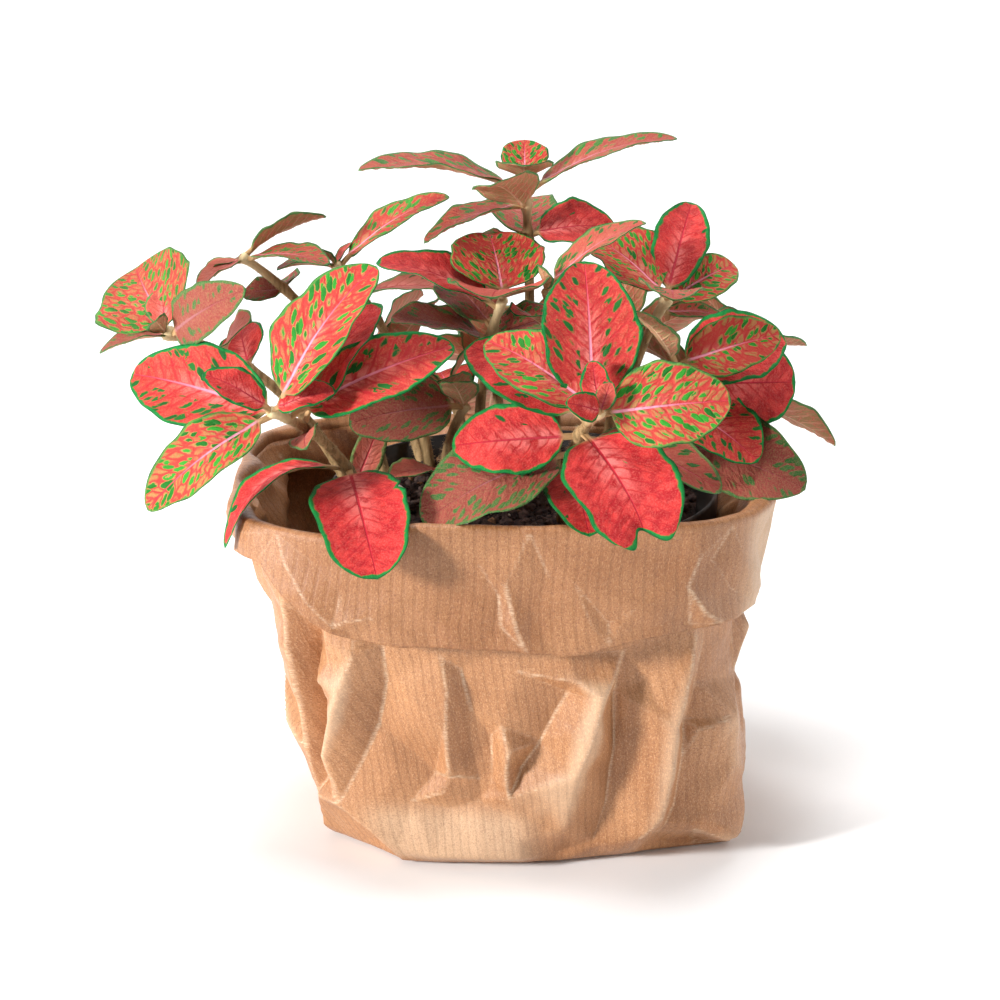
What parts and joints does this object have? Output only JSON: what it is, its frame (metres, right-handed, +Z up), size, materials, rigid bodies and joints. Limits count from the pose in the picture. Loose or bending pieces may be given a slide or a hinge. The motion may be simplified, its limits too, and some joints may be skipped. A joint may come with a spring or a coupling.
{
  "type": "potted nerve plant",
  "caption": "Nerve plant with pink and green veined leaves in a nursery pot, standing in a kraft paper bag whose top is folded down as a cuff.",
  "frame": {"origin": "middle of the bag's flat base", "axes": "+Z up, -Y towards the front of the bag, +X to the right seen from the front"},
  "size_m": [0.1838, 0.1495, 0.1706],
  "materials": {
    "kraft_paper": "ribbed and creased",
    "pot_plastic": "matte",
    "potting_mix": "crumbly peat",
    "foliage": "soft sheen"
  },
  "bodies": {
    "root": {"paper_bag": "kraft_paper", "nursery_pot": "pot_plastic", "soil": "potting_mix", "shoot_front_left": "foliage", "shoot_far_left": "foliage", "shoot_back_left": "foliage", "shoot_mid_left": "foliage", "shoot_centre": "foliage", "shoot_middle": "foliage", "shoot_top": "foliage", "shoot_right": "foliage", "shoot_far_right": "foliage", "shoot_front_right": "foliage", "shoot_low": "foliage", "shoot_back_1": "foliage", "shoot_back_2": "foliage", "shoot_back_3": "foliage", "shoot_back_4": "foliage", "shoot_back_5": "foliage"}
  },
  "joints": []
}
